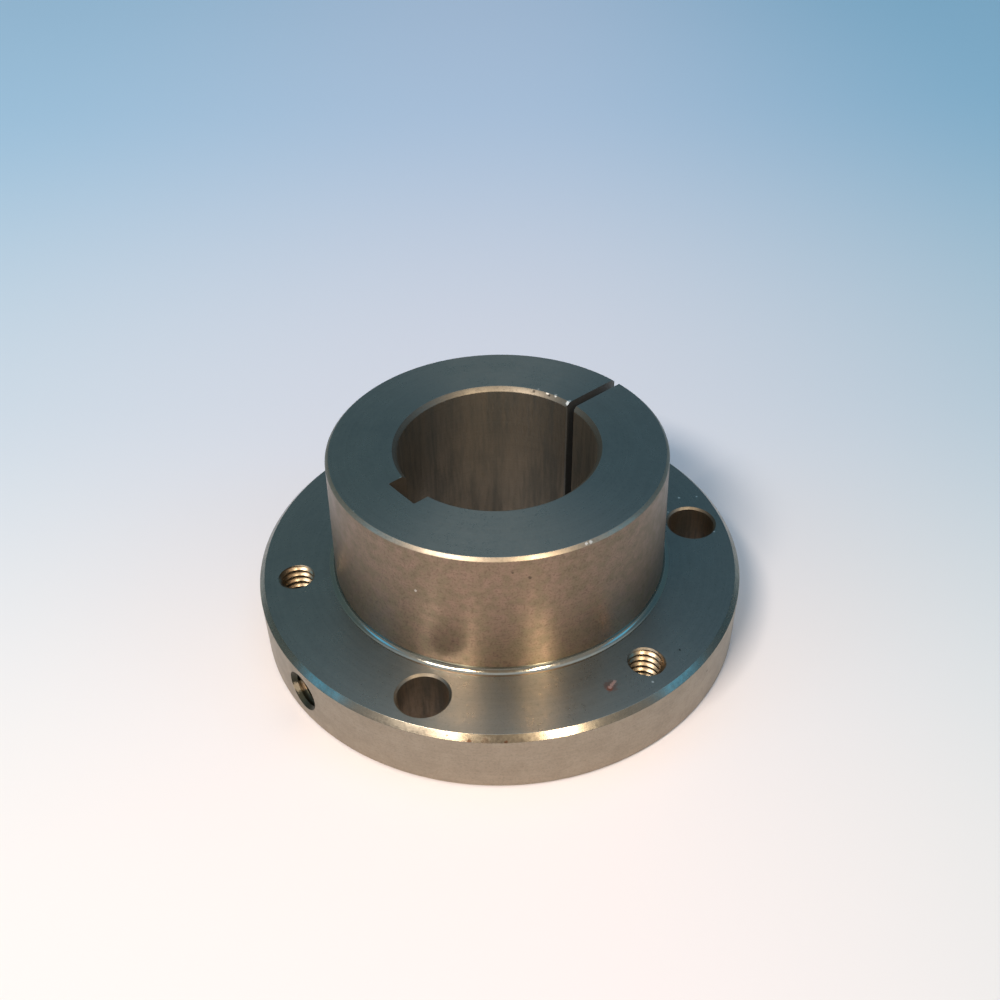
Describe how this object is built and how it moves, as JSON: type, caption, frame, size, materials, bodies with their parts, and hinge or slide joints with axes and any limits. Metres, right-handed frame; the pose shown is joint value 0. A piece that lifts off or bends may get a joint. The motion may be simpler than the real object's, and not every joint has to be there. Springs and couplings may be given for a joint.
{
  "type": "quick disconnect bushing",
  "caption": "Flanged, split and tapered steel bushing that draws into a hub and clamps a keyed shaft, with plain and tapped holes in its flange and a set screw hole in its rim.",
  "frame": {"origin": "on the bore axis, in the flange's flat outer face", "axes": "+Z along the bore axis towards the barrel's small end; +X through the middle of the keyway and along the set screw hole; the saw cut faces -X"},
  "size_m": [0.081, 0.081, 0.0333],
  "materials": {
    "steel": "turned and bored steel with fine circular tool marks, a thin brown and blue-green film, and bright broken edges"
  },
  "bodies": {
    "root": {"bushing": "steel"}
  },
  "joints": []
}
